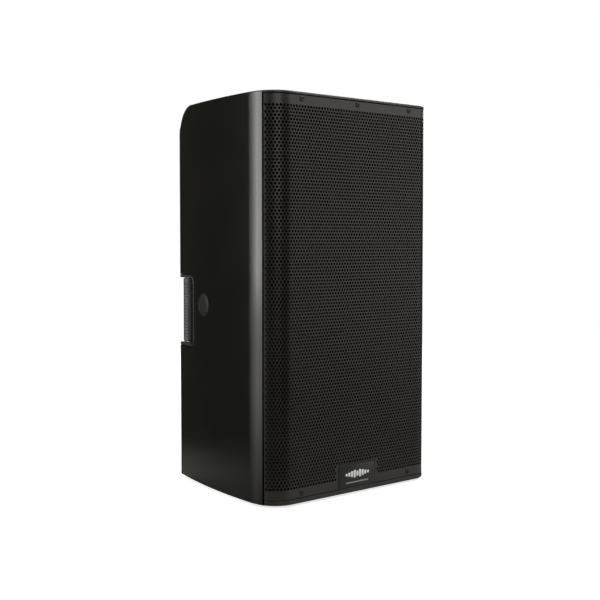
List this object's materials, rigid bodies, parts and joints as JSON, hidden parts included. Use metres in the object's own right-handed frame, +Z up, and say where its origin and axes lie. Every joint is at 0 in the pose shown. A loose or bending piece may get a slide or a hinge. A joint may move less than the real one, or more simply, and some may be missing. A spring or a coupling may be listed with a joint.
{
  "type": "pa speaker cabinet",
  "caption": "Powered two-way loudspeaker cabinet with a tapered moulded shell, wrap-round perforated grille, carry handles, pole socket and rear amplifier panel.",
  "frame": {"origin": "middle of the footprint, on the floor under the rubber feet", "axes": "+Z up, the grille faces -Y, +X to the right when looking along +Y"},
  "size_m": [0.344, 0.29, 0.602],
  "materials": {
    "shell_plastic": "fine moulded texture, black",
    "baffle_wood": "plywood painted black",
    "screw_steel": "black oxide",
    "grille_steel": "powder coat on perforated steel",
    "black_foam": "open-cell foam",
    "badge_metal": "dark satin",
    "black_rubber": "matt",
    "cast_black": "cast metal, black paint",
    "bar_aluminium": "extruded",
    "cap_plastic": "moulded, satin",
    "insert_brass": "turned",
    "cone_paper": "coated pulp",
    "coil_copper": "wound wire",
    "spider_cloth": "impregnated cloth",
    "plate_steel": "zinc plated",
    "ferrite": "sintered",
    "titanium": "formed foil",
    "panel_paint": "fine powder coat",
    "sink_aluminium": "black anodised",
    "zinc_steel": "zinc plated sheet",
    "board_green": "solder mask",
    "display_glass": "clear window over a dark display",
    "knob_plastic": "satin",
    "shaft_steel": "turned",
    "jack_plastic": "glass-filled nylon",
    "lining_fibre": "polyester batting",
    "cable_red": "insulated lead"
  },
  "bodies": {
    "cabinet": {"cabinet_shell": "shell_plastic", "side_handle_cup_left": "shell_plastic", "side_handle_cup_right": "shell_plastic", "top_handle_cup": "shell_plastic", "front_baffle": "baffle_wood", "driver_screws": "screw_steel", "grille_screws": "screw_steel", "panel_screws": "screw_steel", "grille": "grille_steel", "grille_foam": "black_foam", "badge_plate": "badge_metal", "rubber_feet": "black_rubber", "side_grip_left": "black_rubber", "side_grip_right": "black_rubber", "top_grip": "black_rubber", "woofer_surround": "black_rubber", "pole_socket": "cast_black", "woofer_basket": "cast_black", "hf_driver_body": "cast_black", "side_handle_bar_left": "bar_aluminium", "side_handle_bar_right": "bar_aluminium", "top_handle_bar": "bar_aluminium", "grille_standoffs": "cap_plastic", "yoke_caps": "cap_plastic", "port_tubes": "cap_plastic", "horn_waveguide": "cap_plastic", "hf_rear_cover": "cap_plastic", "fan_frame": "cap_plastic", "m10_inserts": "insert_brass", "woofer_spider": "spider_cloth", "woofer_top_plate": "plate_steel", "woofer_pole_yoke": "plate_steel", "woofer_magnet": "ferrite", "amp_plate": "panel_paint", "heat_sink": "sink_aluminium", "amp_cover": "zinc_steel", "amplifier_board": "board_green", "control_board": "board_green", "display_lens": "display_glass", "mains_inlet": "jack_plastic", "combo_jacks": "jack_plastic", "line_out_jacks": "jack_plastic", "power_switch_frame": "jack_plastic", "acoustic_lining": "lining_fibre", "speaker_cables": "cable_red"},
    "woofer_moving": {"woofer_cone": "cone_paper", "woofer_dust_cap": "cone_paper", "woofer_voice_coil": "coil_copper"},
    "hf_moving": {"hf_diaphragm": "titanium"},
    "gain_a": {"gain_knob_a": "knob_plastic"},
    "gain_b": {"gain_knob_b": "knob_plastic"},
    "gain_c": {"gain_knob_c": "knob_plastic"},
    "encoder_plunger": {"encoder_shaft": "shaft_steel"},
    "encoder_dial": {"encoder_knob": "knob_plastic"},
    "menu_key": {"menu_button": "knob_plastic"},
    "back_key": {"back_button": "knob_plastic"},
    "rocker": {"power_rocker": "knob_plastic"},
    "latch_a": {"combo_latch_a": "knob_plastic"},
    "latch_b": {"combo_latch_b": "knob_plastic"},
    "fan_wheel": {"fan_rotor": "cap_plastic"}
  },
  "joints": [
    {"name": "woofer_excursion", "type": "slide", "parent": "cabinet", "child": "woofer_moving", "axis": [0, -1, 0], "range_m": [-0.006, 0.006], "stiffness_N_per_m": 4000, "deforming": ["woofer_surround", "woofer_spider"]},
    {"name": "diaphragm_excursion", "type": "slide", "parent": "cabinet", "child": "hf_moving", "axis": [0, -1, 0], "range_m": [-0.0003, 0.0003], "stiffness_N_per_m": 3000},
    {"name": "gain_a_turn", "type": "hinge", "parent": "cabinet", "child": "gain_a", "pos_m": [-0.044, 0.135, 0.449], "axis": [0, 1, 0], "range_deg": [-150, 150]},
    {"name": "gain_b_turn", "type": "hinge", "parent": "cabinet", "child": "gain_b", "pos_m": [0, 0.135, 0.449], "axis": [0, 1, 0], "range_deg": [-150, 150]},
    {"name": "gain_c_turn", "type": "hinge", "parent": "cabinet", "child": "gain_c", "pos_m": [0.044, 0.135, 0.449], "axis": [0, 1, 0], "range_deg": [-150, 150]},
    {"name": "encoder_press", "type": "slide", "parent": "cabinet", "child": "encoder_plunger", "axis": [0, -1, 0], "range_m": [0, 0.0005], "stiffness_N_per_m": 2000},
    {"name": "encoder_turn", "type": "hinge", "parent": "encoder_plunger", "child": "encoder_dial", "pos_m": [0.046, 0.135, 0.502], "axis": [0, 1, 0], "continuous": true},
    {"name": "menu_press", "type": "slide", "parent": "cabinet", "child": "menu_key", "axis": [0, -1, 0], "range_m": [0, 0.001], "stiffness_N_per_m": 800},
    {"name": "back_press", "type": "slide", "parent": "cabinet", "child": "back_key", "axis": [0, -1, 0], "range_m": [0, 0.001], "stiffness_N_per_m": 800},
    {"name": "power_rocker_tilt", "type": "hinge", "parent": "cabinet", "child": "rocker", "pos_m": [0.034, 0.1285, 0.141], "axis": [1, 0, 0], "range_deg": [0, 24]},
    {"name": "latch_a_press", "type": "slide", "parent": "cabinet", "child": "latch_a", "axis": [0, -1, 0], "range_m": [0, 0.0025], "stiffness_N_per_m": 500},
    {"name": "latch_b_press", "type": "slide", "parent": "cabinet", "child": "latch_b", "axis": [0, -1, 0], "range_m": [0, 0.0025], "stiffness_N_per_m": 500},
    {"name": "fan_spin", "type": "hinge", "parent": "cabinet", "child": "fan_wheel", "pos_m": [0, 0.121, 0.33], "axis": [0, 1, 0], "continuous": true}
  ]
}
